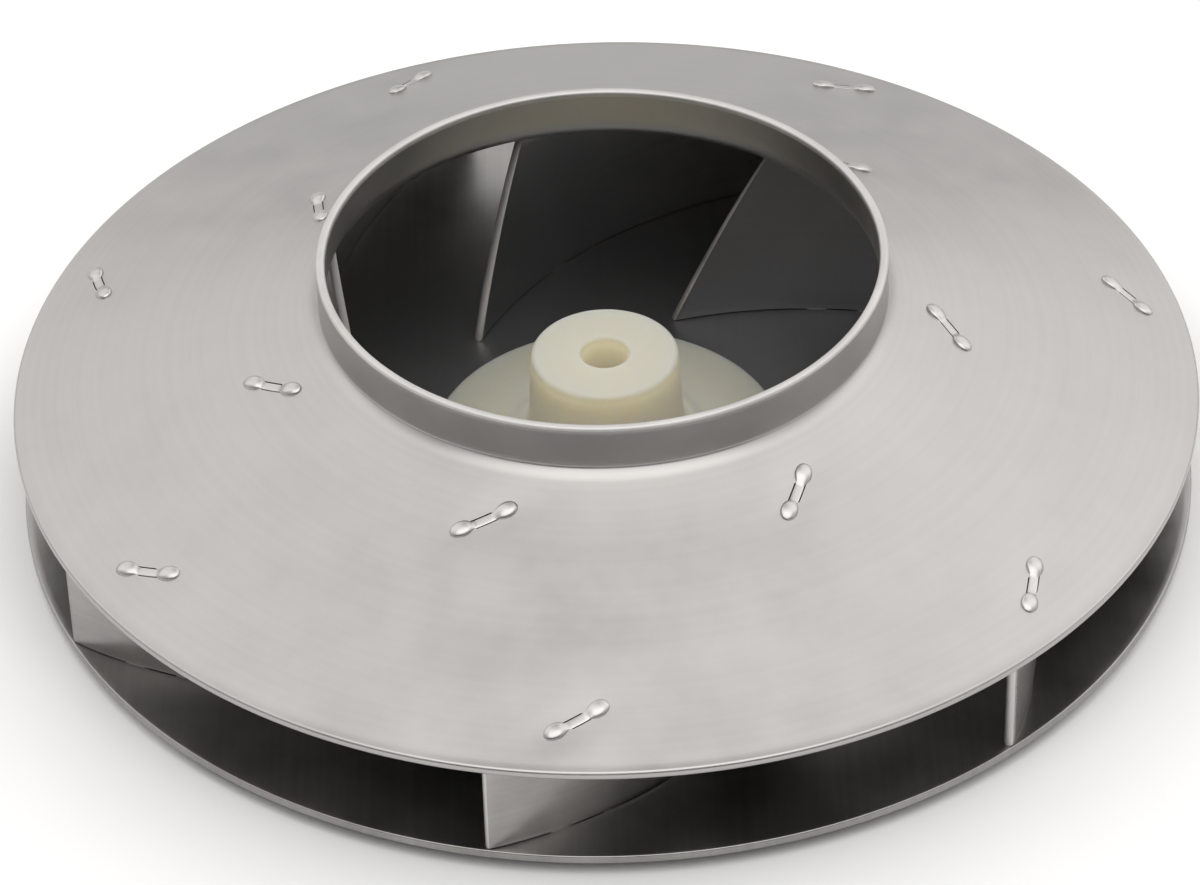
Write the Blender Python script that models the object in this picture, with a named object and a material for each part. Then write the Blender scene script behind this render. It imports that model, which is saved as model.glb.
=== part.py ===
"""Vacuum motor fan: a closed centrifugal fan wheel of sheet aluminium on a nylon hub.

A spun conical front shroud with an upright inlet collar and a flat back plate hold
seven curved blades between them. Each blade has two tabs on its upper edge and two on
its lower edge. The tabs pass through slots in the shroud and the plate, and their ends
are peened over. The hub is moulded through the hole in the back plate.

Lengths are in metres, +Z runs along the spin axis towards the inlet, and the origin is
the centre of the hub's rear face, the lowest face of the wheel.
"""
import math

import bmesh
import bpy

MM = 0.001

# Driving dimensions of the wheel
WHEEL_RADIUS = 100.0 * MM
SHEET = 1.5 * MM
FIT_GAP = 0.3 * MM
BLADE_COUNT = 7

# Hub: boss, front flange, neck through the plate, rear flange and bore
BORE_RADIUS = 4.1 * MM
BORE_CHAMFER = 0.5 * MM
BOSS_RADIUS = 12.5 * MM
BOSS_FOOT_RADIUS = 13.2 * MM
BOSS_EDGE_ROUND = 0.9 * MM
BOSS_HEIGHT_OVER_PLATE = 22.7 * MM
BOSS_FILLET = 4.5 * MM
FLANGE_RADIUS = 30.0 * MM
FLANGE_THICKNESS = 4.3 * MM
FLANGE_RISE = 0.8 * MM
FLANGE_EDGE_ROUND = 0.8 * MM
NECK_RADIUS = 15.0 * MM
REAR_FLANGE_RADIUS = 26.0 * MM
REAR_FLANGE_THICKNESS = 2.0 * MM
REAR_EDGE_ROUND = 0.5 * MM

# Back plate
PLATE_RADIUS = 99.6 * MM
PLATE_UNDER = REAR_FLANGE_THICKNESS + FIT_GAP
PLATE_TOP = PLATE_UNDER + SHEET

# Front shroud
RIM_HEIGHT_OVER_PLATE = 17.8 * MM
CONE_SLOPE = 0.328
COLLAR_RADIUS = 47.6 * MM
COLLAR_TOP_OVER_RIM = 26.2 * MM
COLLAR_FILLET = 2.5 * MM
RIM_TOP = PLATE_TOP + RIM_HEIGHT_OVER_PLATE
COLLAR_TOP = RIM_TOP + COLLAR_TOP_OVER_RIM
CONE_ANGLE = math.atan(CONE_SLOPE)
SHEET_RISE = SHEET / math.cos(CONE_ANGLE)
GAP_RISE = FIT_GAP / math.cos(CONE_ANGLE)

# Blades: one bend radius, vertical, swept back from the inner tab to the outer tab
BLADE_BEND_RADIUS = 76.0 * MM
INNER_TAB_RADIUS = 58.0 * MM
OUTER_TAB_RADIUS = 90.9 * MM
TAB_SWEEP = math.radians(35.0)
FIRST_BLADE_ANGLE = math.radians(95.6)
LEADING_FOOT_RADIUS = 40.3 * MM
LEADING_TOP_RADIUS = 50.0 * MM
TRAILING_RADIUS = 98.8 * MM

# Tabs and their peened heads: two lobes with a narrow waist
TAB_LENGTH = 11.5 * MM
HEAD_SIDE_HEIGHT = 0.5 * MM
HEAD_CROWN_HEIGHT = 0.8 * MM
HEAD_CROWN_INSET = 0.35 * MM
HEAD_WIDTHS = ((0.0, 2.1 * MM), (0.12, 2.8 * MM), (0.3, 2.6 * MM), (0.5, 1.9 * MM),
               (0.7, 2.6 * MM), (0.88, 2.8 * MM), (1.0, 2.1 * MM))

# Steps round the turned pieces and along the bends
SHEET_STEPS = 96
HUB_STEPS = 48
ROUND_STEPS = 4
LEADING_CELLS = 3
MIDDLE_CELLS = 8
TRAILING_CELLS = 2
SLOT_CELLS = 4
SMOOTH_ANGLE = math.radians(30.0)
WELD = 0.001 * MM


def clear_scene():
    """Remove every object, so that the model starts from nothing."""
    for item in list(bpy.data.objects):
        bpy.data.objects.remove(item, do_unlink=True)


def make_material(name, colour, roughness, metallic):
    """A Principled material with one colour, for one kind of piece."""
    material = bpy.data.materials.new(name)
    material.use_nodes = True
    shader = material.node_tree.nodes["Principled BSDF"]
    shader.inputs["Base Color"].default_value = (*colour, 1.0)
    shader.inputs["Roughness"].default_value = roughness
    shader.inputs["Metallic"].default_value = metallic
    material.diffuse_color = (*colour, 1.0)
    return material


def mesh_from(bm, name, material):
    """Turn a bmesh into a mesh with outward faces, smooth shading and a material."""
    bmesh.ops.recalc_face_normals(bm, faces=bm.faces)
    mesh = bpy.data.meshes.new(name)
    bm.to_mesh(mesh)
    bm.free()
    mesh.shade_smooth()
    mesh.set_sharp_from_angle(angle=SMOOTH_ANGLE)
    if material is not None:
        mesh.materials.append(material)
    return mesh


def add_object(name, mesh, turn=0.0):
    """Put a mesh into the scene, turned about the spin axis."""
    item = bpy.data.objects.new(name, mesh)
    item.rotation_euler[2] = turn
    bpy.context.scene.collection.objects.link(item)
    return item


def arc_points(centre, radius, start, end, steps):
    """Points (r, z) along a round corner, with both its ends."""
    points = []
    for step in range(steps + 1):
        angle = start + (end - start) * step / steps
        points.append((centre[0] + radius * math.cos(angle), centre[1] + radius * math.sin(angle)))
    return points


def turned_mesh(name, outline, steps, material):
    """Spin a closed outline of (r, z) points once round the Z axis."""
    bm = bmesh.new()
    corners = [bm.verts.new((r, 0.0, z)) for r, z in outline]
    sides = [bm.edges.new(pair) for pair in zip(corners, corners[1:] + corners[:1])]
    bmesh.ops.spin(bm, geom=corners + sides, cent=(0.0, 0.0, 0.0), axis=(0.0, 0.0, 1.0),
                   angle=math.tau, steps=steps, use_merge=True)
    bmesh.ops.remove_doubles(bm, verts=bm.verts, dist=WELD)
    return mesh_from(bm, name, material)


def cone_top(radius):
    """Height of the shroud's outer cone at a radius."""
    return RIM_TOP + CONE_SLOPE * (WHEEL_RADIUS - radius)


def shroud_outline():
    """Outer side from the rim up to the collar, then back down the inner side."""
    centre_r = COLLAR_RADIUS + COLLAR_FILLET
    centre_z = cone_top(centre_r) + COLLAR_FILLET / math.cos(CONE_ANGLE)
    on_cone = -math.pi / 2 - CONE_ANGLE
    on_collar = -math.pi
    outer = arc_points((centre_r, centre_z), COLLAR_FILLET, on_cone, on_collar, ROUND_STEPS)
    inner = arc_points((centre_r, centre_z), COLLAR_FILLET + SHEET, on_collar, on_cone, ROUND_STEPS)
    outline = [(WHEEL_RADIUS, RIM_TOP - SHEET_RISE), (WHEEL_RADIUS, RIM_TOP)]
    outline += outer
    outline += [(COLLAR_RADIUS, COLLAR_TOP), (COLLAR_RADIUS - SHEET, COLLAR_TOP)]
    outline += inner
    return outline


def plate_outline():
    """A flat ring of sheet with a hole for the hub's neck."""
    hole = NECK_RADIUS + FIT_GAP
    return [(hole, PLATE_UNDER), (PLATE_RADIUS, PLATE_UNDER), (PLATE_RADIUS, PLATE_TOP), (hole, PLATE_TOP)]


def hub_outline():
    """Up the outside from the rear flange to the boss, then down the bore."""
    flange_under = PLATE_TOP + FIT_GAP
    flange_top = flange_under + FLANGE_THICKNESS
    boss_top = PLATE_TOP + BOSS_HEIGHT_OVER_PLATE
    foot_z = flange_top + FLANGE_RISE
    quarter = math.pi / 2
    outline = [(BORE_RADIUS + BORE_CHAMFER, 0.0)]
    outline += arc_points((REAR_FLANGE_RADIUS - REAR_EDGE_ROUND, REAR_EDGE_ROUND),
                          REAR_EDGE_ROUND, -quarter, 0.0, 2)
    outline += [(REAR_FLANGE_RADIUS, REAR_FLANGE_THICKNESS), (NECK_RADIUS, REAR_FLANGE_THICKNESS)]
    outline += [(NECK_RADIUS, flange_under), (FLANGE_RADIUS, flange_under)]
    outline += arc_points((FLANGE_RADIUS - FLANGE_EDGE_ROUND, flange_top - FLANGE_EDGE_ROUND),
                          FLANGE_EDGE_ROUND, 0.0, quarter, 2)
    outline += arc_points((BOSS_FOOT_RADIUS + BOSS_FILLET, foot_z + BOSS_FILLET),
                          BOSS_FILLET, -quarter, -math.pi, ROUND_STEPS)
    outline += arc_points((BOSS_RADIUS - BOSS_EDGE_ROUND, boss_top - BOSS_EDGE_ROUND),
                          BOSS_EDGE_ROUND, 0.0, quarter, 2)
    outline += [(BORE_RADIUS + BORE_CHAMFER, boss_top), (BORE_RADIUS, boss_top - BORE_CHAMFER)]
    outline += [(BORE_RADIUS, BORE_CHAMFER)]
    return outline


def bend_centre():
    """Centre of the blade's bend, from the two tab places and the bend radius."""
    x1, y1 = INNER_TAB_RADIUS, 0.0
    x2 = OUTER_TAB_RADIUS * math.cos(TAB_SWEEP)
    y2 = -OUTER_TAB_RADIUS * math.sin(TAB_SWEEP)
    half = math.hypot(x2 - x1, y2 - y1) / 2
    reach = math.sqrt(BLADE_BEND_RADIUS ** 2 - half ** 2)
    along_x, along_y = (x2 - x1) / (2 * half), (y2 - y1) / (2 * half)
    return (x1 + x2) / 2 + along_y * reach, (y1 + y2) / 2 - along_x * reach


def bend_angle(radius):
    """Angle on the bend where the blade is at a given radius from the spin axis."""
    cx, cy = bend_centre()
    offset = math.hypot(cx, cy)
    cosine = (radius ** 2 - offset ** 2 - BLADE_BEND_RADIUS ** 2) / (2 * offset * BLADE_BEND_RADIUS)
    return math.atan2(cy, cx) + math.acos(cosine)


def bend_point(angle, offset):
    """Plan point on the blade's bend, pushed outwards from its centre by an offset."""
    cx, cy = bend_centre()
    reach = BLADE_BEND_RADIUS + offset
    return cx + reach * math.cos(angle), cy + reach * math.sin(angle)


def tab_spans():
    """Start and end angle of each tab along the bend, inner tab first."""
    half = TAB_LENGTH / 2 / BLADE_BEND_RADIUS
    middles = [bend_angle(INNER_TAB_RADIUS), bend_angle(OUTER_TAB_RADIUS)]
    return [(middle + half, middle - half) for middle in middles]


def spread(start, end, cells):
    """Even steps from start to end, without the end itself."""
    return [start + (end - start) * step / cells for step in range(cells)]


def blade_columns():
    """Angles of the blade's upright lines as (foot, top) pairs, and which cells carry a tab."""
    inner, outer = tab_spans()
    foot = spread(bend_angle(LEADING_FOOT_RADIUS), inner[0], LEADING_CELLS)
    top = spread(bend_angle(LEADING_TOP_RADIUS), inner[0], LEADING_CELLS)
    columns = list(zip(foot, top))
    tabs = []
    for start, end in (inner, outer):
        tabs.append(range(len(columns), len(columns) + len(HEAD_WIDTHS) - 1))
        columns += [(start + (end - start) * place,) * 2 for place, width in HEAD_WIDTHS[:-1]]
        if (start, end) == inner:
            columns += [(angle,) * 2 for angle in spread(end, outer[0], MIDDLE_CELLS)]
    last = bend_angle(TRAILING_RADIUS)
    columns += [(angle,) * 2 for angle in spread(outer[1], last, TRAILING_CELLS)]
    columns.append((last, last))
    return columns, tabs


def head_rows(width):
    """Offsets from the sheet's middle and heights past the sheet that carries the head."""
    half = width / 2
    return ((SHEET / 2, 0.0), (half, 0.0), (half, HEAD_SIDE_HEIGHT),
            (half - HEAD_CROWN_INSET, HEAD_CROWN_HEIGHT))


def upper_point(bm, angle, offset, height):
    """A corner of an upper head, measured up from just over the shroud's cone."""
    x, y = bend_point(angle, offset)
    return bm.verts.new((x, y, cone_top(math.hypot(x, y)) + GAP_RISE + height))


def lower_point(bm, angle, offset, height):
    """A corner of a lower head, measured down from just under the back plate."""
    x, y = bend_point(angle, offset)
    return bm.verts.new((x, y, PLATE_UNDER - FIT_GAP - height))


def add_head(bm, base, angles, make_point):
    """Build one tab on the blade's edge, from its (left, right) corners, to its peened head."""
    lines = []
    for (left, right), angle, (place, width) in zip(base, angles, HEAD_WIDTHS):
        lefts = [left] + [make_point(bm, angle, offset, height) for offset, height in head_rows(width)]
        rights = [right] + [make_point(bm, angle, -offset, height) for offset, height in head_rows(width)]
        lines.append((lefts, rights))
    for (left_a, right_a), (left_b, right_b) in zip(lines, lines[1:]):
        for row in range(len(left_a) - 1):
            bm.faces.new((left_a[row], left_b[row], left_b[row + 1], left_a[row + 1]))
            bm.faces.new((right_b[row], right_a[row], right_a[row + 1], right_b[row + 1]))
        bm.faces.new((left_a[-1], left_b[-1], right_b[-1], right_a[-1]))
    for lefts, rights in (lines[0], lines[-1]):
        bm.faces.new(lefts + rights[::-1])


def blade_mesh(material):
    """One blade with its four tabs, its inner tab on the X axis."""
    bm = bmesh.new()
    columns, tabs = blade_columns()
    feet = []
    tops = []
    for foot_angle, top_angle in columns:
        foot = [bend_point(foot_angle, offset) for offset in (SHEET / 2, -SHEET / 2)]
        top = [bend_point(top_angle, offset) for offset in (SHEET / 2, -SHEET / 2)]
        feet.append([bm.verts.new((x, y, PLATE_TOP + FIT_GAP)) for x, y in foot])
        tops.append([bm.verts.new((x, y, cone_top(math.hypot(x, y)) - SHEET_RISE - GAP_RISE))
                     for x, y in top])
    tab_cells = {cell for tab in tabs for cell in tab}
    for cell in range(len(columns) - 1):
        after = cell + 1
        bm.faces.new((feet[cell][0], feet[after][0], tops[after][0], tops[cell][0]))
        bm.faces.new((feet[after][1], feet[cell][1], tops[cell][1], tops[after][1]))
        if cell not in tab_cells:
            bm.faces.new((tops[cell][0], tops[after][0], tops[after][1], tops[cell][1]))
            bm.faces.new((feet[after][0], feet[cell][0], feet[cell][1], feet[after][1]))
    for end in (0, -1):
        bm.faces.new((feet[end][0], tops[end][0], tops[end][1], feet[end][1]))
    for tab in tabs:
        lines = list(tab) + [tab[-1] + 1]
        angles = [columns[line][0] for line in lines]
        add_head(bm, [tops[line] for line in lines], angles, upper_point)
        add_head(bm, [feet[line] for line in lines], angles, lower_point)
    return mesh_from(bm, "blade", material)


def slot_cutter():
    """Upright prisms a fit gap larger than each tab, through the plate and the shroud."""
    bm = bmesh.new()
    low = -COLLAR_TOP
    high = 2 * COLLAR_TOP
    side = SHEET / 2 + FIT_GAP
    clear = FIT_GAP / BLADE_BEND_RADIUS
    for start, end in tab_spans():
        for blade in range(BLADE_COUNT):
            turn = FIRST_BLADE_ANGLE - math.tau * blade / BLADE_COUNT
            angles = spread(start + clear, end - clear, SLOT_CELLS) + [end - clear]
            plan = [bend_point(angle, side) for angle in angles]
            plan += [bend_point(angle, -side) for angle in reversed(angles)]
            turned = [(x * math.cos(turn) - y * math.sin(turn), x * math.sin(turn) + y * math.cos(turn))
                      for x, y in plan]
            floor = [bm.verts.new((x, y, low)) for x, y in turned]
            roof = [bm.verts.new((x, y, high)) for x, y in turned]
            bm.faces.new(floor)
            bm.faces.new(roof)
            for a, b in zip(range(len(plan)), list(range(1, len(plan))) + [0]):
                bm.faces.new((floor[a], floor[b], roof[b], roof[a]))
    cutter = add_object("slot_cutter", mesh_from(bm, "slot_cutter", None))
    cutter.hide_render = True
    cutter.display_type = "WIRE"
    return cutter


def cut_slots(item, cutter):
    """Cut the tab slots through a sheet piece."""
    cut = item.modifiers.new("tab_slots", "BOOLEAN")
    cut.operation = "DIFFERENCE"
    cut.solver = "EXACT"
    cut.object = cutter


def build_wheel():
    """Make every piece of the fan wheel."""
    clear_scene()
    spun = make_material("spun_aluminium", (0.60, 0.59, 0.57), 0.42, 1.0)
    flat = make_material("plate_aluminium", (0.52, 0.51, 0.50), 0.45, 1.0)
    formed = make_material("blade_aluminium", (0.55, 0.54, 0.53), 0.38, 1.0)
    nylon = make_material("natural_nylon", (0.62, 0.60, 0.48), 0.45, 0.0)

    cutter = slot_cutter()
    shroud = add_object("front_shroud", turned_mesh("front_shroud", shroud_outline(), SHEET_STEPS, spun))
    cut_slots(shroud, cutter)
    plate = add_object("back_plate", turned_mesh("back_plate", plate_outline(), SHEET_STEPS, flat))
    cut_slots(plate, cutter)
    add_object("hub", turned_mesh("hub", hub_outline(), HUB_STEPS, nylon))

    blade = blade_mesh(formed)
    for number in range(BLADE_COUNT):
        turn = FIRST_BLADE_ANGLE - math.tau * number / BLADE_COUNT
        add_object(f"blade_{number + 1}", blade, turn)


build_wheel()
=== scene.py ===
# Looks of a vacuum motor's fan wheel: a spun aluminium shroud and a flat plate of the same
# sheet, seven bent blades with peened tabs, and a hub of natural nylon.
# Lengths are in metres, +Z runs along the spin axis towards the inlet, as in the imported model.
import math

import bpy
import numpy as np
from mathutils import Matrix, Vector


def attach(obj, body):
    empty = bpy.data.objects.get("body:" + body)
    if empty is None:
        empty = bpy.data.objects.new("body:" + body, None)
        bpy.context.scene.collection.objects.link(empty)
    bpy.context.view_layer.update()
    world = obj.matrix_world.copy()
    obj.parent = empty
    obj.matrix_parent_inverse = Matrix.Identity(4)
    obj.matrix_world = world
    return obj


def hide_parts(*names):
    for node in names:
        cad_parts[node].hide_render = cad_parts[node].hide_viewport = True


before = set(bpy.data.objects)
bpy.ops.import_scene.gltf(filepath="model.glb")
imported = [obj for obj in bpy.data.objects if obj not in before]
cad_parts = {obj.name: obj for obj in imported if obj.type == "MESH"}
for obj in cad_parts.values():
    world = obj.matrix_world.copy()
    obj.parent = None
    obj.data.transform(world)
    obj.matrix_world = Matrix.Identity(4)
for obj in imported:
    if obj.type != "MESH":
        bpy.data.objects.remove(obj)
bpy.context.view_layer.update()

MM = 0.001
BODY = "root"

# Sizes of the wheel, the same as in the part
WHEEL_RADIUS = 100.0 * MM
SHEET = 1.5 * MM
FIT_GAP = 0.3 * MM
BLADE_COUNT = 7
SECTOR = math.tau / BLADE_COUNT

BORE_RADIUS = 4.1 * MM
BORE_CHAMFER = 0.5 * MM
BOSS_RADIUS = 12.5 * MM
BOSS_FOOT_RADIUS = 13.2 * MM
BOSS_EDGE_ROUND = 0.9 * MM
BOSS_FILLET = 4.5 * MM
FLANGE_RADIUS = 30.0 * MM
FLANGE_THICKNESS = 4.3 * MM
FLANGE_RISE = 0.8 * MM
FLANGE_EDGE_ROUND = 0.8 * MM
NECK_RADIUS = 15.0 * MM
REAR_FLANGE_RADIUS = 26.0 * MM
REAR_FLANGE_THICKNESS = 2.0 * MM
REAR_EDGE_ROUND = 0.5 * MM

PLATE_RADIUS = 99.6 * MM
PLATE_UNDER = REAR_FLANGE_THICKNESS + FIT_GAP
PLATE_TOP = PLATE_UNDER + SHEET
BOSS_TOP = PLATE_TOP + 22.7 * MM
FLANGE_TOP = PLATE_TOP + FIT_GAP + FLANGE_THICKNESS

CONE_SLOPE = 0.328
CONE_ANGLE = math.atan(CONE_SLOPE)
COLLAR_RADIUS = 47.6 * MM
CORNER_ROUND = 0.8 * MM
CORNER_TURN = math.radians(45.0)
OUTER_FILLET = 5.5 * MM
INNER_FILLET = 6.0 * MM
RIM_TOP = PLATE_TOP + 17.8 * MM
COLLAR_TOP = RIM_TOP + 26.2 * MM
SHEET_RISE = SHEET / math.cos(CONE_ANGLE)

BLADE_BEND_RADIUS = 76.0 * MM
INNER_TAB_RADIUS = 58.0 * MM
OUTER_TAB_RADIUS = 90.9 * MM
TAB_SWEEP = math.radians(35.0)
FIRST_BLADE_ANGLE = math.radians(95.6)
LEADING_FOOT_RADIUS = 40.3 * MM
LEADING_TOP_RADIUS = 50.0 * MM
TRAILING_RADIUS = 98.8 * MM

# The flare that spinning leaves where the cone turns up into the collar
FLARE_RADIUS = 63.0 * MM
FLARE = 0.0026 / MM
CORNER_NORMAL = math.radians(68.0)
CORNER_MARGIN = 0.6 * MM

# Deburred edges, slots, and what peening makes of each tab: lobes, waist and a shallow dent
EDGE_ROUND = 0.3 * MM
RIM_ROUND = 0.6 * MM
LIP_ROUND = 0.55 * MM
SEAT_GAP = 0.05 * MM
SHROUD_SLOT = 0.9 * MM
PLATE_SLOT = 0.85 * MM
SLOT_HALF_LENGTH = 2.6 * MM
LOBE_PLACE = 3.8 * MM
LOBE_HALF_LENGTH = 1.95 * MM
LOBE_HALF_WIDTH = 1.35 * MM
LOBE_HEIGHT = 0.8 * MM
WAIST_HALF_WIDTH = 0.72 * MM
WAIST_HEIGHT = 0.12 * MM
DOME_POWER = 0.8
TAB_BURIED = 0.5 * MM
DENT_DEPTH = 0.16 * MM
DENT_LENGTH = 7.5 * MM
DENT_WIDTH = 3.6 * MM

# Share of a head's half length that is drawn, and the most of a head's width that its neck takes
HEAD_END = 0.995
NECK_SHARE = 0.9

# Painted shade inside the wheel, a dull grey coat darker towards the hub: how dense, its colour,
# where it is densest, where it ends, and its roughness
INSIDE_SHADE = 0.8
INSIDE_SHADE_COLOUR = "#838385"
INSIDE_SHADE_INNER = 55.0 * MM
INSIDE_SHADE_OUTER = 85.0 * MM
INSIDE_SHADE_ROUGHNESS = 0.45

# Studio light: the walls' least glow, how bright the camera sees them, and each soft glow as its
# direction, the cosine where it starts, the cosine from which it is full, and its level
WALL_LEAST = 0.05
WALL_SEEN = 0.95
WALL_GLOWS = (
    ((0.0, -0.342, 0.94), 0.75, 0.95, 2.0),
    ((0.0, 0.966, 0.259), 0.75, 0.95, 0.5),
    ((-0.8, 0.0, 0.6), 0.6, 0.95, 0.5),
    ((0.8, 0.0, 0.6), 0.6, 0.95, 0.65),
    ((-0.557, 0.557, 0.616), 0.75, 0.95, 0.95),
    ((0.557, 0.557, 0.616), 0.75, 0.95, 1.05),
)

# Camera at the photograph's place, and the floor
CAMERA_PLACE = Vector((0.0, -677.4 * MM, 549.7 * MM))
CAMERA_TARGET = Vector((-1.23 * MM, 0.0, 6.97 * MM))
CAMERA_ROLL = math.radians(-1.62)
CAMERA_LENS = 152.2
CAMERA_SENSOR = 36.0
CAMERA_NEAR = 0.01
FLOOR_HALF = 4.0
FLOOR_DROP = 0.2 * MM

# Steps of the surfaces
BETWEEN_BLADES = 40
CONE_STEP = 1.1 * MM
SLOT_ROWS = 8
HUB_COLUMNS = 160
BLADE_COLUMNS = 72
BLADE_LEVELS = 20
HEAD_COLUMNS = 40
HEAD_ARC = 17
CORNER_STEPS = 4
ROUND_STEPS = 6
BEND_STEPS = 10
WALL_STEPS = 8
INNER_WALL_STEPS = 10
NOSE_STEPS = 8
FILLET_STEPS = 14
FLANGE_STEPS = 10
BORE_STEPS = 12
REAR_STEPS = 14
LEAN_STEPS = 8
SHARP_ANGLE = math.radians(50.0)
LINES_BESIDE_SLOT = np.array([1.35, 1.9, 2.7, 3.6]) * MM

# Places of a blade's materials
BENT, PEENED, SHEARED = 0, 1, 2


# Shapes
def cone_top(radius):
    """Height of the shroud's outer cone: rim height plus slope times the way in from the rim."""
    return RIM_TOP + CONE_SLOPE * (WHEEL_RADIUS - radius)


def flared_top(radius):
    """The cone's height plus the spun flare: a parabola that starts inside the flare's radius."""
    return cone_top(radius) + FLARE * np.clip(FLARE_RADIUS - radius, 0.0, None) ** 2


def bend_centre():
    """Centre of the blade's bend, on the middle line of its two tab places, one reach away."""
    start = np.array([INNER_TAB_RADIUS, 0.0])
    end = OUTER_TAB_RADIUS * np.array([math.cos(TAB_SWEEP), -math.sin(TAB_SWEEP)])
    half = np.linalg.norm(end - start) / 2
    along = (end - start) / (2 * half)
    reach = math.sqrt(BLADE_BEND_RADIUS ** 2 - half ** 2)
    return (start + end) / 2 + reach * np.array([along[1], -along[0]])


CENTRE = bend_centre()
CENTRE_REACH = math.hypot(*CENTRE)
CENTRE_ANGLE = math.atan2(CENTRE[1], CENTRE[0])
TURNS = FIRST_BLADE_ANGLE - SECTOR * np.arange(BLADE_COUNT)


def bend_angle(radius):
    """Angle about the bend's centre where the blade is that far from the spin axis (cosine rule)."""
    product = 2 * CENTRE_REACH * BLADE_BEND_RADIUS
    cosine = (radius ** 2 - CENTRE_REACH ** 2 - BLADE_BEND_RADIUS ** 2) / product
    return CENTRE_ANGLE + math.acos(cosine)


def polar_angle(radius, offset):
    """Angle about the spin axis where a circle meets the bend line moved outwards (cosine rule)."""
    reach = BLADE_BEND_RADIUS + offset
    cosine = (radius ** 2 + CENTRE_REACH ** 2 - reach ** 2) / (2 * radius * CENTRE_REACH)
    return CENTRE_ANGLE + np.arccos(cosine)


def bend_plan(angle, offset, turn):
    """Plan x and y at an angle on the bend and an offset from it, turned about the spin axis."""
    reach = BLADE_BEND_RADIUS + offset
    x = CENTRE[0] + reach * np.cos(angle)
    y = CENTRE[1] + reach * np.sin(angle)
    return x * math.cos(turn) - y * math.sin(turn), x * math.sin(turn) + y * math.cos(turn)


TAB_MIDDLES = (bend_angle(INNER_TAB_RADIUS), bend_angle(OUTER_TAB_RADIUS))


def dent(x, y):
    """Depth of the dents round the tabs: a bell curve along and across each tab, summed."""
    depth = np.zeros_like(x)
    for turn in TURNS:
        flat_x = x * math.cos(turn) + y * math.sin(turn) - CENTRE[0]
        flat_y = y * math.cos(turn) - x * math.sin(turn) - CENTRE[1]
        angle = np.arctan2(flat_y, flat_x)
        across = np.hypot(flat_x, flat_y) - BLADE_BEND_RADIUS
        for middle in TAB_MIDDLES:
            along = BLADE_BEND_RADIUS * ((angle - middle + math.pi) % math.tau - math.pi)
            depth += np.exp(-(along / DENT_LENGTH) ** 2 - (across / DENT_WIDTH) ** 2)
    return DENT_DEPTH * depth


def arc(centre, radius, start, end, steps=CORNER_STEPS):
    """Points (r, z) along a round corner: centre plus radius times (cos, sin) of an even sweep."""
    sweep = np.linspace(start, end, steps + 1)
    return np.column_stack([centre[0] + radius * np.cos(sweep), centre[1] + radius * np.sin(sweep)])


def line(start, end, steps):
    """Points (r, z) spread evenly between two points, both left out."""
    share = np.linspace(0.0, 1.0, steps + 1)[1:-1, None]
    return (1 - share) * np.array(start) + share * np.array(end)


def slot_radii(middle):
    """Radii of the rows through one slot, evenly spread from its outer to its inner end."""
    half = SLOT_HALF_LENGTH / BLADE_BEND_RADIUS
    ends = [math.hypot(*bend_plan(middle + side, 0.0, 0.0)) for side in (-half, half)]
    return np.linspace(ends[0], ends[1], SLOT_ROWS + 1)


def stations(outer, inner):
    """Radii shared by both faces of a sheet, from outer to inner, with rows on the slots' ends."""
    slots = [slot_radii(middle) for middle in reversed(TAB_MIDDLES)]
    stops = [outer, slots[0][0], slots[0][-1], slots[1][0], slots[1][-1], inner]
    rows = []
    for start, end, slot in zip(stops[:-1], stops[1:], (None, slots[0], None, slots[1], None)):
        plain = np.linspace(start, end, max(2, math.ceil((start - end) / CONE_STEP)) + 1)
        rows.append((plain if slot is None else slot)[:-1])
    radii = np.concatenate(rows + [[inner]])
    first = [int(np.argmin(abs(radii - slot[0]))) for slot in slots]
    return radii, first


def column_angles(radii, slot_half):
    """Polar angle of each column at each radius.

    Near a blade the columns are its bend line moved sideways, so that they run along the slots.
    Between blades they are evenly spread. Inside the blades' reach the angles stay as they are.
    """
    reach = np.clip(radii, LEADING_FOOT_RADIUS, None)[:, None]
    lines = np.concatenate([-LINES_BESIDE_SLOT[::-1], [-slot_half, 0.0, slot_half], LINES_BESIDE_SLOT])
    near = polar_angle(reach, lines[None, :])
    share = np.arange(1, BETWEEN_BLADES) / BETWEEN_BLADES
    between = near[:, -1:] + (near[:, :1] + SECTOR - near[:, -1:]) * share
    sector = np.concatenate([near, between], axis=1)
    return np.concatenate([sector + turn for turn in TURNS[::-1]], axis=1)


def loop_quads(rows, columns):
    """Quads of a grid that closes on itself both ways, as (rows, columns, 4) vertex numbers."""
    index = np.arange(rows * columns).reshape(rows, columns)
    below = np.roll(index, -1, axis=0)
    return np.stack([index, np.roll(index, -1, axis=1), np.roll(below, -1, axis=1), below], axis=-1)


def slot_walls(columns, first, last_under):
    """Quads that line one slot, joining its edge on the upper face to the same edge below.

    The edge is walked once round on each face: along one side, the end, the other side, the end.
    """
    low, high = columns
    rows = np.arange(SLOT_ROWS + 1)
    across = np.arange(low, high + 1)
    between = len(across) - 2
    row_walk = np.concatenate([rows, np.full(between, rows[-1]), rows[::-1], np.zeros(between, int)])
    sides = [np.full(len(rows), column) for column in (low, high)]
    column_walk = np.concatenate([sides[0], across[1:-1], sides[1], across[-2:0:-1]])
    upper = (first + row_walk) * SHEET_COLUMNS + column_walk
    under = (last_under - row_walk) * SHEET_COLUMNS + column_walk
    return np.stack([upper, under, np.roll(under, -1), np.roll(upper, -1)], axis=-1)


SLOT_LINES = (len(LINES_BESIDE_SLOT), len(LINES_BESIDE_SLOT) + 2)
SECTOR_COLUMNS = 2 * len(LINES_BESIDE_SLOT) + 3 + BETWEEN_BLADES - 1
SHEET_COLUMNS = BLADE_COUNT * SECTOR_COLUMNS


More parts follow.
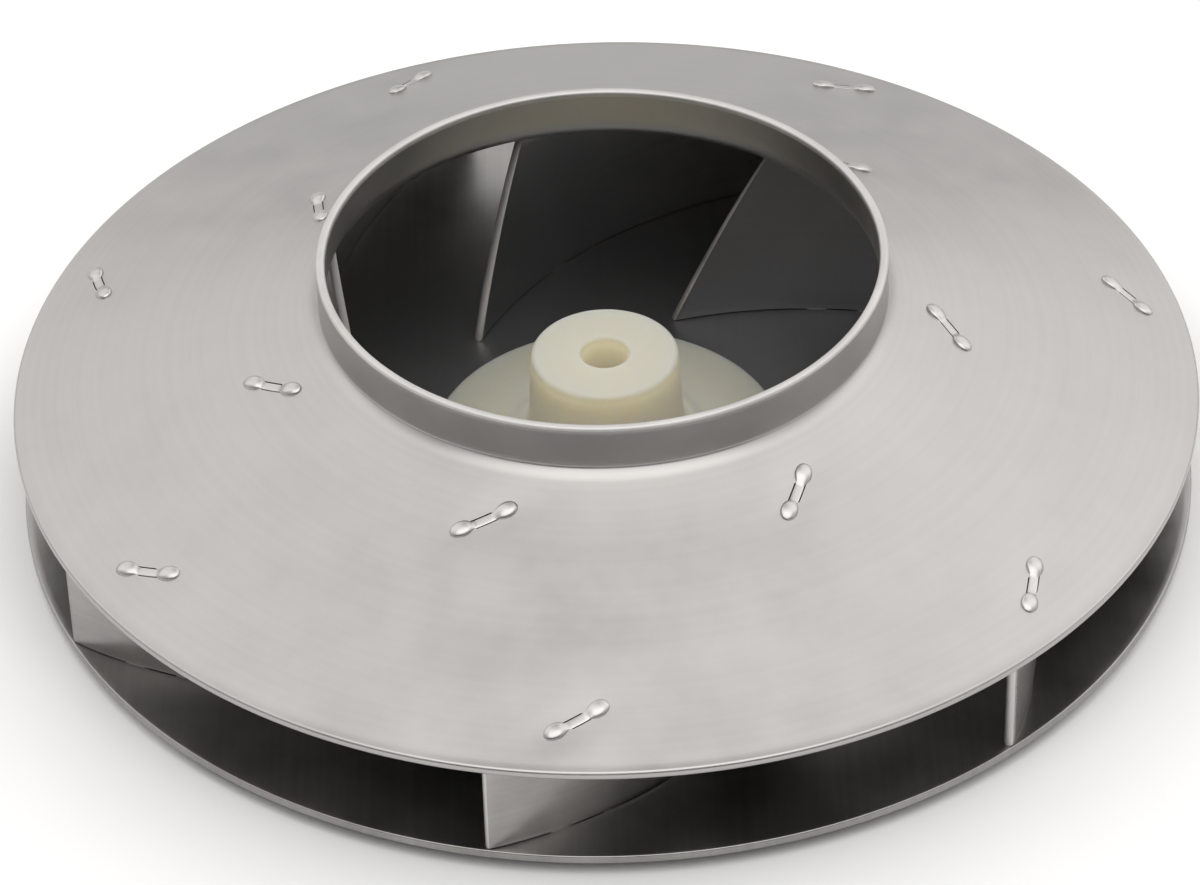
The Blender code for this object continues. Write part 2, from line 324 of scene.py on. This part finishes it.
def slotted_sheet(profile, stations_count, first_rows, under_start, dent_sign, slot_half):
    """Turn a closed profile round the spin axis and open the fourteen tab slots in it.

    Point (row, column) is radius times (cos, sin) of that row's column angle, at the row's height
    less the dent. Rows 0 to stations_count - 1 are the upper face, outer first, and the same
    stations follow from under_start on, inner first, on the lower face.
    """
    radii, heights = profile[:, 0], profile[:, 1]
    angles = column_angles(radii, slot_half)
    x = radii[:, None] * np.cos(angles)
    y = radii[:, None] * np.sin(angles)
    z = heights[:, None] - dent_sign * dent(x, y)
    points = np.stack([x, y, z], axis=-1)
    quads = loop_quads(len(radii), SHEET_COLUMNS)
    keep = np.ones(quads.shape[:2], bool)
    walls = []
    for sector in range(BLADE_COUNT):
        low, high = (sector * SECTOR_COLUMNS + place for place in SLOT_LINES)
        for first in first_rows:
            last_under = under_start + stations_count - 1 - first
            keep[first:first + SLOT_ROWS, low:high] = False
            keep[last_under - SLOT_ROWS:last_under, low:high] = False
            walls.append(slot_walls((low, high), first, last_under))
    return points.reshape(-1, 3), np.concatenate([quads[keep]] + walls)


def flared_slope(radius):
    """Angle of the flared cone at a radius: the slope of its height turned to an angle."""
    return math.atan(CONE_SLOPE + 2 * FLARE * max(FLARE_RADIUS - radius, 0.0))


def outer_corner():
    """Arcs between cone and collar on the outside, from the cone up: a wide one, then a tight one.

    Each arc's centre lies along the normal that it shares with the one before. The flare's slope
    is read at the point that a normal of CORNER_NORMAL above the level would give.
    """
    turn_shift = (OUTER_FILLET - CORNER_ROUND) * math.cos(CORNER_TURN)
    wide_r = COLLAR_RADIUS + CORNER_ROUND + turn_shift
    on_cone = math.pi / 2 - flared_slope(wide_r - OUTER_FILLET * math.cos(CORNER_NORMAL))
    touch_r = wide_r - OUTER_FILLET * math.cos(on_cone)
    wide = (wide_r, float(flared_top(touch_r)) + OUTER_FILLET * math.sin(on_cone))
    tight = (wide_r - turn_shift, wide[1] - (OUTER_FILLET - CORNER_ROUND) * math.sin(CORNER_TURN))
    turned_on, turned_corner = -math.pi + on_cone, -math.pi + CORNER_TURN
    return np.concatenate([arc(wide, OUTER_FILLET, turned_on, turned_corner, ROUND_STEPS),
                           arc(tight, CORNER_ROUND, turned_corner, -math.pi, ROUND_STEPS)[1:]])


def inner_corner():
    """The arc between collar and cone on the inside, from the collar down: one wide bend."""
    centre_r = COLLAR_RADIUS - SHEET + INNER_FILLET
    on_cone = math.pi / 2 - flared_slope(centre_r - INNER_FILLET * math.cos(CORNER_NORMAL))
    touch_r = centre_r - INNER_FILLET * math.cos(on_cone)
    centre = (centre_r, float(flared_top(touch_r)) - SHEET_RISE + INNER_FILLET * math.sin(on_cone))
    return arc(centre, INNER_FILLET, -math.pi, -math.pi + on_cone, BEND_STEPS)


def shroud_sheet():
    """Profile of the shroud: cone, corner, collar, lip, inner wall, bend, underside and rim.

    The faces of the lip are picked for the sheared finish.
    """
    quarter = math.pi / 2
    outer, inner = outer_corner(), inner_corner()
    rim_r = WHEEL_RADIUS - RIM_ROUND
    radii, first = stations(rim_r, max(outer[0, 0], inner[-1, 0]) + CORNER_MARGIN)
    upper = np.column_stack([radii, flared_top(radii)])
    lip_out = arc((COLLAR_RADIUS - LIP_ROUND, COLLAR_TOP - LIP_ROUND), LIP_ROUND, 0.0, quarter)
    lip_in = arc((COLLAR_RADIUS - SHEET + LIP_ROUND, COLLAR_TOP - LIP_ROUND), LIP_ROUND, quarter, math.pi)
    under = upper[::-1] - (0.0, SHEET_RISE)
    rim_z = cone_top(rim_r)
    rim_low = arc((rim_r, rim_z - SHEET_RISE + RIM_ROUND), RIM_ROUND, -quarter, 0.0, ROUND_STEPS)[1:]
    rim_high = arc((rim_r, rim_z - RIM_ROUND), RIM_ROUND, 0.0, quarter, ROUND_STEPS)[:-1]
    outer_wall = line(outer[-1], lip_out[0], WALL_STEPS)
    inner_wall = line(lip_in[-1], inner[0], INNER_WALL_STEPS)
    parts = [upper, outer, outer_wall, lip_out, lip_in, inner_wall, inner]
    under_start = sum(len(part) for part in parts)
    lip_start = sum(len(part) for part in parts[:3])
    profile = np.concatenate(parts + [under, rim_low, rim_high])
    points, quads = slotted_sheet(profile, len(radii), first, under_start, 1.0, SHROUD_SLOT)
    way_in = quads[:, 0] // SHEET_COLUMNS - lip_start
    return points, quads, ((way_in >= 0) & (way_in < len(lip_out) + len(lip_in))).astype(int)


def plate_sheet():
    """Profile of the back plate: upper face, hole edge, lower face and rim."""
    quarter = math.pi / 2
    hole = NECK_RADIUS + FIT_GAP
    rim_r = PLATE_RADIUS - EDGE_ROUND
    radii, first = stations(rim_r, hole)
    upper = np.column_stack([radii, np.full(len(radii), PLATE_TOP)])
    under = upper[::-1] - (0.0, SHEET)
    rim_low = arc((rim_r, PLATE_UNDER + EDGE_ROUND), EDGE_ROUND, -quarter, 0.0)[1:]
    rim_high = arc((rim_r, PLATE_TOP - EDGE_ROUND), EDGE_ROUND, 0.0, quarter)[:-1]
    profile = np.concatenate([upper, under, rim_low, rim_high])
    return slotted_sheet(profile, len(radii), first, len(radii), -1.0, PLATE_SLOT)


def hub_profile():
    """Closed profile of the hub: up its outside from the rear flange, then down the bore."""
    quarter = math.pi / 2
    under = PLATE_TOP + SEAT_GAP
    foot_z = FLANGE_TOP + FLANGE_RISE
    rear = REAR_FLANGE_THICKNESS + FIT_GAP - SEAT_GAP
    mouth = BORE_RADIUS + BORE_CHAMFER
    edge_centre = (FLANGE_RADIUS - FLANGE_EDGE_ROUND, FLANGE_TOP - FLANGE_EDGE_ROUND)
    edge = arc(edge_centre, FLANGE_EDGE_ROUND, 0.0, quarter, ROUND_STEPS)
    fillet_centre = (BOSS_FOOT_RADIUS + BOSS_FILLET, foot_z + BOSS_FILLET)
    fillet = arc(fillet_centre, BOSS_FILLET, -quarter, -math.pi, FILLET_STEPS)
    nose_centre = (BOSS_RADIUS - BOSS_EDGE_ROUND, BOSS_TOP - BOSS_EDGE_ROUND)
    nose = arc(nose_centre, BOSS_EDGE_ROUND, 0.0, quarter, NOSE_STEPS)
    heel = arc((REAR_FLANGE_RADIUS - REAR_EDGE_ROUND, REAR_EDGE_ROUND), REAR_EDGE_ROUND, -quarter, 0.0)
    mouth_in = arc((mouth, BOSS_TOP - BORE_CHAMFER), BORE_CHAMFER, quarter, math.pi)
    mouth_out = arc((mouth, BORE_CHAMFER), BORE_CHAMFER, math.pi, 3 * quarter)
    return np.concatenate([
        line(mouth_out[-1], heel[0], REAR_STEPS), heel,
        [(REAR_FLANGE_RADIUS, rear), (NECK_RADIUS, rear)],
        [(NECK_RADIUS, under), (FLANGE_RADIUS, under)], edge,
        line(edge[-1], fillet[0], FLANGE_STEPS), fillet,
        line(fillet[-1], nose[0], WALL_STEPS), nose,
        line(nose[-1], mouth_in[0], NOSE_STEPS), mouth_in,
        line(mouth_in[-1], mouth_out[0], BORE_STEPS), mouth_out])


def turned(profile, columns):
    """Turn a closed profile of (r, z) once round the spin axis: r times (cos, sin), at height z."""
    angles = math.tau * np.arange(columns) / columns
    x = profile[:, :1] * np.cos(angles)
    y = profile[:, :1] * np.sin(angles)
    z = np.broadcast_to(profile[:, 1:], x.shape)
    return np.stack([x, y, z], axis=-1).reshape(-1, 3), loop_quads(len(profile), columns).reshape(-1, 4)


def tube_quads(rows, columns):
    """Quads of a grid whose rows close into a loop, with a ladder of quads across each open end.

    The ladder pairs the rows from both ends of the loop, so it closes only an even number of rows.
    """
    index = np.arange(rows * columns).reshape(rows, columns)
    below = np.roll(index, -1, axis=0)
    side = np.stack([index[:, :-1], below[:, :-1], below[:, 1:], index[:, 1:]], axis=-1).reshape(-1, 4)
    half = rows // 2
    near, far = index[:half], index[::-1][:half]
    ladder = np.stack([near[:-1], far[:-1], far[1:], near[1:]], axis=-1)
    return np.concatenate([side, ladder[:, 0], ladder[:, -1, ::-1]])


def blade_section():
    """Loop round the blade's edge-on section: share of half thickness, share of height, lift.

    It runs up one face, over the top edge, down the other face and under the foot, with round
    corners whose lift is EDGE_ROUND times the sine of the corner's sweep.
    """
    sweep = np.linspace(0.0, math.pi / 2, CORNER_STEPS + 1)[1:]
    level = np.linspace(0.0, 1.0, BLADE_LEVELS + 1)
    corner = 1.0 - 2 * EDGE_ROUND / SHEET * (1.0 - np.cos(sweep))
    lift = EDGE_ROUND * np.sin(sweep)
    across = np.concatenate([corner[::-1], np.ones(len(level)), corner])
    levels = np.concatenate([np.zeros(len(sweep)), level, np.ones(len(sweep))])
    lifts = np.concatenate([-lift[::-1], np.zeros(len(level)), lift])
    return (np.concatenate([across, -across[::-1]]), np.concatenate([levels, levels[::-1]]),
            np.concatenate([lifts, lifts[::-1]]))


def blade_body(turn):
    """One blade's sheet: the section carried along its bend, thinning at both upright edges."""
    across, level, lift = (values[:, None] for values in blade_section())
    inner_start = TAB_MIDDLES[0] + SLOT_HALF_LENGTH / BLADE_BEND_RADIUS
    first, last = bend_angle(LEADING_FOOT_RADIUS), bend_angle(TRAILING_RADIUS)
    sweep = np.linspace(0.0, math.pi / 2, CORNER_STEPS + 1)
    way_in = EDGE_ROUND * (1.0 - np.sin(sweep)) / BLADE_BEND_RADIUS
    thin = 1.0 - 2 * EDGE_ROUND / SHEET * (1.0 - np.cos(sweep[::-1]))
    middle = np.linspace(first, last, BLADE_COLUMNS)[1:-1]
    inset = EDGE_ROUND / BLADE_BEND_RADIUS - way_in
    angle = np.concatenate([first - inset, middle, last + inset[::-1]])
    thickness = np.concatenate([thin, np.ones(len(middle)), thin[::-1]])
    lean = np.clip((angle - inner_start) / (first - inner_start), 0.0, 1.0)
    lead_radii = np.linspace(LEADING_FOOT_RADIUS, LEADING_TOP_RADIUS, LEAN_STEPS + 1)
    lead = np.array([bend_angle(radius) for radius in lead_radii])
    slant = np.interp(level[:, 0], np.linspace(0.0, 1.0, LEAN_STEPS + 1), lead - first)[:, None]
    angle = angle[None, :] + slant * lean[None, :]
    x, y = bend_plan(angle, across * thickness * SHEET / 2, turn)
    foot = PLATE_TOP + SEAT_GAP + EDGE_ROUND
    top = flared_top(np.hypot(x, y)) - SHEET_RISE - SEAT_GAP - EDGE_ROUND - dent(x, y)
    z = foot + level * (top - foot) + lift
    return np.stack([x, y, z], axis=-1).reshape(-1, 3), tube_quads(*x.shape)


def head_outline():
    """Places along a peened head with its half width and height there.

    Each lobe ends as half an ellipse in plan. The waist between them is a low ridge, nearly as
    wide as the sheet.
    Both are blended by the fourth root of the sum of fourth powers.
    """
    span = LOBE_PLACE + LOBE_HALF_LENGTH
    place = -span * np.cos(np.linspace(0.0, math.pi, HEAD_COLUMNS)) * HEAD_END
    way = np.abs(place) - LOBE_PLACE
    lobe = np.sqrt(np.clip(1.0 - (way / LOBE_HALF_LENGTH) ** 2, 0.0, 1.0))
    ridge = np.where(way < 0.0, 1.0, lobe)
    width = ((LOBE_HALF_WIDTH * lobe) ** 4 + (WAIST_HALF_WIDTH * ridge) ** 4) ** 0.25
    height = ((LOBE_HEIGHT * lobe) ** 4 + (WAIST_HEIGHT * ridge) ** 4) ** 0.25
    return place, width, height


def head_shell(turn, middle, upper):
    """A tab with its peened head: a section carried along the bend.

    The section is a neck nearly as thick as the sheet, inside the slot, under a dome whose half
    width is width times cos and whose height is height times sin, both to the dome's power.
    """
    place, width, height = head_outline()
    sweep = np.linspace(0.0, math.pi, HEAD_ARC + 1)[:, None]
    neck = np.minimum(WAIST_HALF_WIDTH, NECK_SHARE * width)
    depth = SHEET_RISE + TAB_BURIED
    dome_across = width * np.sign(np.cos(sweep)) * np.abs(np.cos(sweep)) ** DOME_POWER
    dome_height = height * np.sin(sweep) ** DOME_POWER - SEAT_GAP
    sunk = np.full_like(width, -SEAT_GAP)
    across = np.stack([neck, neck, *dome_across, -neck, -neck])
    rise = np.stack([sunk - depth, sunk, *dome_height, sunk, sunk - depth])
    angle = middle - place / BLADE_BEND_RADIUS
    x, y = bend_plan(np.broadcast_to(angle, across.shape), across, turn)
    if upper:
        z = flared_top(np.hypot(x, y)) - dent(x, y) + rise
    else:
        z = PLATE_UNDER + dent(x, y) - rise
    quads = tube_quads(*x.shape)
    return np.stack([x, y, z], axis=-1).reshape(-1, 3), quads if upper else quads[:, ::-1]


def joined(shells):
    """Several (points, quads) as one, the later vertex numbers moved past the earlier ones."""
    starts = np.cumsum([0] + [len(points) for points, _ in shells[:-1]])
    points = np.concatenate([points for points, _ in shells])
    return points, np.concatenate([quads + start for (_, quads), start in zip(shells, starts)])


def body_picks(faces):
    """Material of each face of a blade's sheet: sheared at both upright edges, else as bent."""
    side_columns = BLADE_COLUMNS - 2 + 2 * (CORNER_STEPS + 1) - 1
    column = np.arange(faces) % side_columns
    sheared = (column < CORNER_STEPS) | (column >= side_columns - CORNER_STEPS)
    ladders = 2 * (len(blade_section()[0]) // 2 - 1)
    sheared[faces - ladders:] = True
    return np.where(sheared, SHEARED, BENT)


def blade(turn):
    """One blade with its two upper and two lower tabs, and each face's material."""
    heads = [head_shell(turn, middle, upper) for middle in TAB_MIDDLES for upper in (True, False)]
    body = blade_body(turn)
    points, quads = joined([body] + heads)
    sheet_faces = len(body[1])
    head_picks = np.full(len(quads) - sheet_faces, PEENED)
    return points, quads, np.concatenate([body_picks(sheet_faces), head_picks])


def facing_out(points, quads):
    """The quads, turned over if the shell they close has a negative volume."""
    corners = points[quads]
    first = np.cross(corners[:, 1] - corners[:, 0], corners[:, 2] - corners[:, 0])
    second = np.cross(corners[:, 2] - corners[:, 0], corners[:, 3] - corners[:, 0])
    volume = np.einsum("ij,ij->", corners[:, 0], first + second)
    return quads if volume > 0 else quads[:, ::-1]


def new_piece(name, shape, materials, node):
    """A smooth mesh from (points, quads), standing for one CAD node on the wheel's body.

    A third part of the shape, where there is one, picks each face's material.
    """
    points, quads, *picks = shape
    mesh = bpy.data.meshes.new(name)
    mesh.from_pydata(points.tolist(), [], facing_out(points, quads).tolist())
    mesh.shade_smooth()
    mesh.set_sharp_from_angle(angle=SHARP_ANGLE)
    for material in materials:
        mesh.materials.append(material)
    if picks:
        mesh.polygons.foreach_set("material_index", picks[0])
    piece = bpy.data.objects.new(name, mesh)
    bpy.context.scene.collection.objects.link(piece)
    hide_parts(node)
    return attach(piece, BODY)


# Materials
# A Mix node's sockets: the two values, the two colours, and the mixed colour
VALUE_A, VALUE_B = 2, 3
COLOUR_A, COLOUR_B, COLOUR_OUT = 6, 7, 2

# Range that a cloudy noise fills, and how far the roller's marks shift it
CLOUD_LOW, CLOUD_HIGH = 0.3, 0.7
MARK_SHARE = 0.3


def linear(code):
    """An sRGB hex colour as linear RGBA."""
    values = np.array([int(code[place:place + 2], 16) for place in (1, 3, 5)]) / 255.0
    curve = np.where(values <= 0.04045, values / 12.92, ((values + 0.055) / 1.055) ** 2.4)
    return (*curve.tolist(), 1.0)


def add(tree, kind, inputs=(), **settings):
    """Add one shader node: settings are its own options, inputs are (socket, value or output)."""
    made = tree.nodes.new("ShaderNode" + kind)
    for name, value in settings.items():
        setattr(made, name, value)
    for socket, value in inputs:
        if isinstance(value, bpy.types.NodeSocket):
            tree.links.new(value, made.inputs[socket])
        else:
            made.inputs[socket].default_value = value
    return made


def new_material(name, **sockets):
    """A Principled material with uniform values on its own sockets."""
    material = bpy.data.materials.new(name)
    material.use_nodes = True
    shader = material.node_tree.nodes["Principled BSDF"]
    for socket, value in sockets.items():
        shader.inputs[socket.replace("_", " ")].default_value = value
    return material, material.node_tree, shader


def sheet_aluminium(name, light, dark, smooth, rough, mark_height, grain_height,
                    rolled_across=None, inside_shade=0.0):
    """Aluminium sheet, left as spun or rolled.

    Broad pale and darker clouds come from uneven oxide, about 14 mm across. Fine marks 0.7 mm
    apart are the roller's path: rings where the sheet was spun, straight lines across the axis
    named by rolled_across where it was only rolled. Grain of 0.25 mm gives the satin its soft
    sparkle. Where inside_shade is above 0, the faces inside the wheel carry painted shade: a dull
    grey coat that grows towards the hub.
    """
    material, tree, shader = new_material(name, Metallic=1.0)
    place = add(tree, "TexCoord").outputs["Object"]
    plan = add(tree, "VectorMath", [(0, place), (1, (1.0, 1.0, 0.0))], operation="MULTIPLY").outputs[0]
    radius = add(tree, "VectorMath", [(0, plan)], operation="LENGTH").outputs["Value"]
    axes = add(tree, "SeparateXYZ", [(0, place)]).outputs
    cloud = add(tree, "TexNoise", [("Vector", place), ("Scale", 1 / (14 * MM)), ("Detail", 5.0),
                                   ("Roughness", 0.6)]).outputs["Fac"]
    way = axes[rolled_across] if rolled_across else radius
    mark = add(tree, "TexNoise", [("W", way), ("Scale", 1 / (1.4 * MM)), ("Detail", 3.0)],
               noise_dimensions="1D").outputs["Fac"]
    grain = add(tree, "TexNoise", [("Vector", place), ("Scale", 1 / (0.5 * MM)),
                                   ("Detail", 2.0)]).outputs["Fac"]
    mixed = add(tree, "Math", [(0, mark), (1, MARK_SHARE), (2, cloud)], operation="MULTIPLY_ADD").outputs[0]
    share = add(tree, "MapRange", [("Value", mixed), ("From Min", CLOUD_LOW + MARK_SHARE / 2),
                                   ("From Max", CLOUD_HIGH + MARK_SHARE / 2)]).outputs[0]
    tint = add(tree, "Mix", [("Factor", share), (COLOUR_A, linear(dark)), (COLOUR_B, linear(light))],
               data_type="RGBA").outputs[COLOUR_OUT]
    gloss = add(tree, "MapRange", [("Value", cloud), ("From Min", CLOUD_LOW), ("From Max", CLOUD_HIGH),
                                   ("To Min", smooth), ("To Max", rough)]).outputs[0]
    # Painted shade: faces above the plate's middle, nearer the hub, take a dull grey coat
    inside = add(tree, "MapRange", [("Value", axes["Z"]), ("From Min", PLATE_TOP - SHEET / 2),
                                    ("From Max", PLATE_TOP - SHEET / 10), ("To Max", inside_shade)]).outputs[0]
    shade_cover = add(tree, "MapRange", [("Value", radius), ("From Min", INSIDE_SHADE_OUTER), ("From Max", INSIDE_SHADE_INNER),
                                   ("To Max", inside)], interpolation_type="SMOOTHSTEP").outputs[0]
    shaded_tint = add(tree, "Mix", [("Factor", shade_cover), (COLOUR_A, tint), (COLOUR_B, linear(INSIDE_SHADE_COLOUR))],
               data_type="RGBA").outputs[COLOUR_OUT]
    dull = add(tree, "Mix", [("Factor", shade_cover), (VALUE_A, gloss), (VALUE_B, INSIDE_SHADE_ROUGHNESS)],
               data_type="FLOAT").outputs[0]
    marks = add(tree, "Bump", [("Height", mark), ("Distance", mark_height), ("Strength", 1.0)])
    relief = add(tree, "Bump", [("Height", grain), ("Distance", grain_height), ("Strength", 1.0),
                                ("Normal", marks.outputs[0])])
    tree.links.new(shaded_tint, shader.inputs["Base Color"])
    tree.links.new(dull, shader.inputs["Roughness"])
    tree.links.new(relief.outputs[0], shader.inputs["Normal"])
    return material


def natural_nylon():
    """Natural nylon 6, injection moulded: off-white and slightly waxy, light sinks in and warms.

    Faint clouds 10 mm across are uneven cooling. The skin has a fine 0.4 mm orange peel. The thin
    flange is painted greyer as painted shade down in the wheel's eye, and the top face is painted a
    little greyer as painted shade that tempers the light from above.
    """
    material, tree, shader = new_material(
        "moulded_natural_nylon", IOR=1.53, Roughness=0.55, Subsurface_Weight=1.0,
        Subsurface_Radius=(1.0, 0.78, 0.42), Subsurface_Scale=14.0 * MM)
    place = add(tree, "TexCoord").outputs["Object"]
    height = add(tree, "SeparateXYZ", [(0, place)]).outputs["Z"]
    cloud = add(tree, "TexNoise", [("Vector", place), ("Scale", 1 / (10 * MM)),
                                   ("Detail", 4.0)]).outputs["Fac"]
    share = add(tree, "MapRange", [("Value", cloud), ("From Min", CLOUD_LOW),
                                   ("From Max", CLOUD_HIGH)]).outputs[0]
    tint = add(tree, "Mix", [("Factor", share), (COLOUR_A, linear("#E4DFD0")),
                             (COLOUR_B, linear("#E9E5D8"))], data_type="RGBA").outputs[COLOUR_OUT]
    # Painted shade: below the flange's top the nylon turns greyer
    above = add(tree, "MapRange", [("Value", height), ("From Min", FLANGE_TOP),
                                   ("From Max", FLANGE_TOP + 2 * MM)],
                interpolation_type="SMOOTHSTEP").outputs[0]
    body = add(tree, "Mix", [("Factor", above), (COLOUR_A, linear("#AFAC9D")), (COLOUR_B, tint)],
               data_type="RGBA").outputs[COLOUR_OUT]
    # Painted shade: the top face turns a little greyer, against the light from above
    nearly = add(tree, "MapRange", [("Value", height), ("From Min", BOSS_TOP - 2 * MM),
                                    ("From Max", BOSS_TOP)],
                 interpolation_type="SMOOTHSTEP").outputs[0]
    skin = add(tree, "Mix", [("Factor", nearly), (COLOUR_A, body), (COLOUR_B, linear("#C2BFB1"))],
               data_type="RGBA").outputs[COLOUR_OUT]
    peel = add(tree, "TexNoise", [("Vector", place), ("Scale", 1 / (0.8 * MM)),
                                  ("Detail", 2.0)]).outputs["Fac"]
    relief = add(tree, "Bump", [("Height", peel), ("Distance", 0.02 * MM), ("Strength", 1.0)])
    tree.links.new(skin, shader.inputs["Base Color"])
    tree.links.new(relief.outputs[0], shader.inputs["Normal"])
    return material


def studio_floor():
    """Matt white board, a plain pale floor with a trace of unevenness 250 mm across."""
    material, tree, shader = new_material("matt_white_board", Roughness=0.9)
    place = add(tree, "TexCoord").outputs["Object"]
    cloud = add(tree, "TexNoise", [("Vector", place), ("Scale", 1 / (250 * MM)),
                                   ("Detail", 2.0)]).outputs["Fac"]
    tint = add(tree, "Mix", [("Factor", cloud), (COLOUR_A, linear("#F4F4F4")),
                             (COLOUR_B, linear("#F7F7F7"))], data_type="RGBA").outputs[COLOUR_OUT]
    tree.links.new(tint, shader.inputs["Base Color"])
    return material


# Studio
def make_camera():
    """Camera at the photograph's place: its axes from the view direction, rolled a little."""
    forward = (CAMERA_TARGET - CAMERA_PLACE).normalized()
    right = forward.cross(Vector((0.0, 0.0, 1.0))).normalized()
    up = right.cross(forward)
    across = math.cos(CAMERA_ROLL) * right + math.sin(CAMERA_ROLL) * up
    upright = math.cos(CAMERA_ROLL) * up - math.sin(CAMERA_ROLL) * right
    data = bpy.data.cameras.new("studio_camera")
    data.lens = CAMERA_LENS
    data.sensor_width = CAMERA_SENSOR
    data.sensor_fit = "HORIZONTAL"
    data.clip_start = CAMERA_NEAR
    camera = bpy.data.objects.new("studio_camera", data)
    camera.location = CAMERA_PLACE
    camera.rotation_euler = Matrix((across, upright, -forward)).transposed().to_euler()
    bpy.context.scene.collection.objects.link(camera)
    bpy.context.scene.camera = camera


def studio_walls():
    """Pale walls whose glow is a constant plus one smooth step per direction.

    Each step runs over the cosine between the looked-at direction and its own. A ray straight
    from the camera sees an even pale wall, so that every view has the same background.
    """
    world = bpy.data.worlds.new("studio_walls")
    bpy.context.scene.world = world
    world.use_nodes = True
    tree = world.node_tree
    place = add(tree, "TexCoord").outputs["Generated"]
    least = add(tree, "Value")
    least.outputs[0].default_value = WALL_LEAST
    glow = least.outputs[0]
    for direction, start, full, level in WALL_GLOWS:
        cosine = add(tree, "VectorMath", [(0, place), (1, direction)],
                     operation="DOT_PRODUCT").outputs["Value"]
        step = add(tree, "MapRange", [("Value", cosine), ("From Min", start), ("From Max", full),
                                      ("To Max", level)], interpolation_type="SMOOTHSTEP").outputs[0]
        glow = add(tree, "Math", [(0, glow), (1, step)], operation="ADD").outputs[0]
    straight = add(tree, "LightPath").outputs["Is Camera Ray"]
    seen = add(tree, "Mix", [("Factor", straight), (VALUE_A, glow), (VALUE_B, WALL_SEEN)],
               data_type="FLOAT").outputs[0]
    surround = tree.nodes["Background"]
    surround.inputs["Color"].default_value = linear("#FDFCFB")
    tree.links.new(seen, surround.inputs["Strength"])


def make_studio():
    """White floor and softly glowing walls, with colours shown as they are."""
    corners = [(x * FLOOR_HALF, y * FLOOR_HALF, -FLOOR_DROP) for x, y in ((-1, -1), (1, -1), (1, 1), (-1, 1))]
    mesh = bpy.data.meshes.new("floor")
    mesh.from_pydata(corners, [], [(0, 1, 2, 3)])
    mesh.materials.append(studio_floor())
    floor = bpy.data.objects.new("floor", mesh)
    bpy.context.scene.collection.objects.link(floor)
    studio_walls()
    view = bpy.context.scene.view_settings
    view.view_transform = "Standard"
    view.look = "None"


def make_wheel():
    """Every shown piece of the wheel, each standing for its CAD node."""
    # Spun satin: fine rings stretch the highlights round the cone
    spun = sheet_aluminium("spun_sheet_aluminium", "#B8B6B4", "#B0AEAC", 0.32, 0.42,
                           0.0008 * MM, 0.004 * MM)
    # Mill finish, flat: smoother, so it mirrors the dark inside of the wheel; its upper face carries painted
    # shade, darker towards the hub
    rolled = sheet_aluminium("rolled_sheet_aluminium", "#A8A6A4", "#969492", 0.28, 0.36,
                             0.0003 * MM, 0.001 * MM, "X", INSIDE_SHADE)
    # Mill finish, bent: bright where it turns to the light, dark beyond; it carries the same painted shade
    # inside the wheel
    bent = sheet_aluminium("bent_sheet_aluminium", "#ACAAA8", "#9A9896", 0.26, 0.34,
                           0.0, 0.001 * MM, "Z", INSIDE_SHADE)
    # Struck by the peening tool: burnished crowns with small highlights
    peened = sheet_aluminium("peened_aluminium", "#C6C4C2", "#BAB8B6", 0.3, 0.38, 0.0, 0.006 * MM)
    # Sheared edges: torn and matt, so they catch light from every side as pale lines
    sheared = sheet_aluminium("sheared_edge_aluminium", "#DAD8D6", "#C8C6C4", 0.5, 0.62,
                              0.0, 0.006 * MM)
    new_piece("spun_shroud", shroud_sheet(), [spun, sheared], "front_shroud")
    new_piece("flat_plate", plate_sheet(), [rolled], "back_plate")
    hub_shape = turned(hub_profile(), HUB_COLUMNS)
    new_piece("moulded_hub", hub_shape, [natural_nylon()], "hub")
    for number, turn in enumerate(TURNS, 1):
        finishes = [bent, peened, sheared]
        new_piece(f"bent_blade_{number}", blade(turn), finishes, f"blade_{number}")


make_camera()
make_studio()
make_wheel()
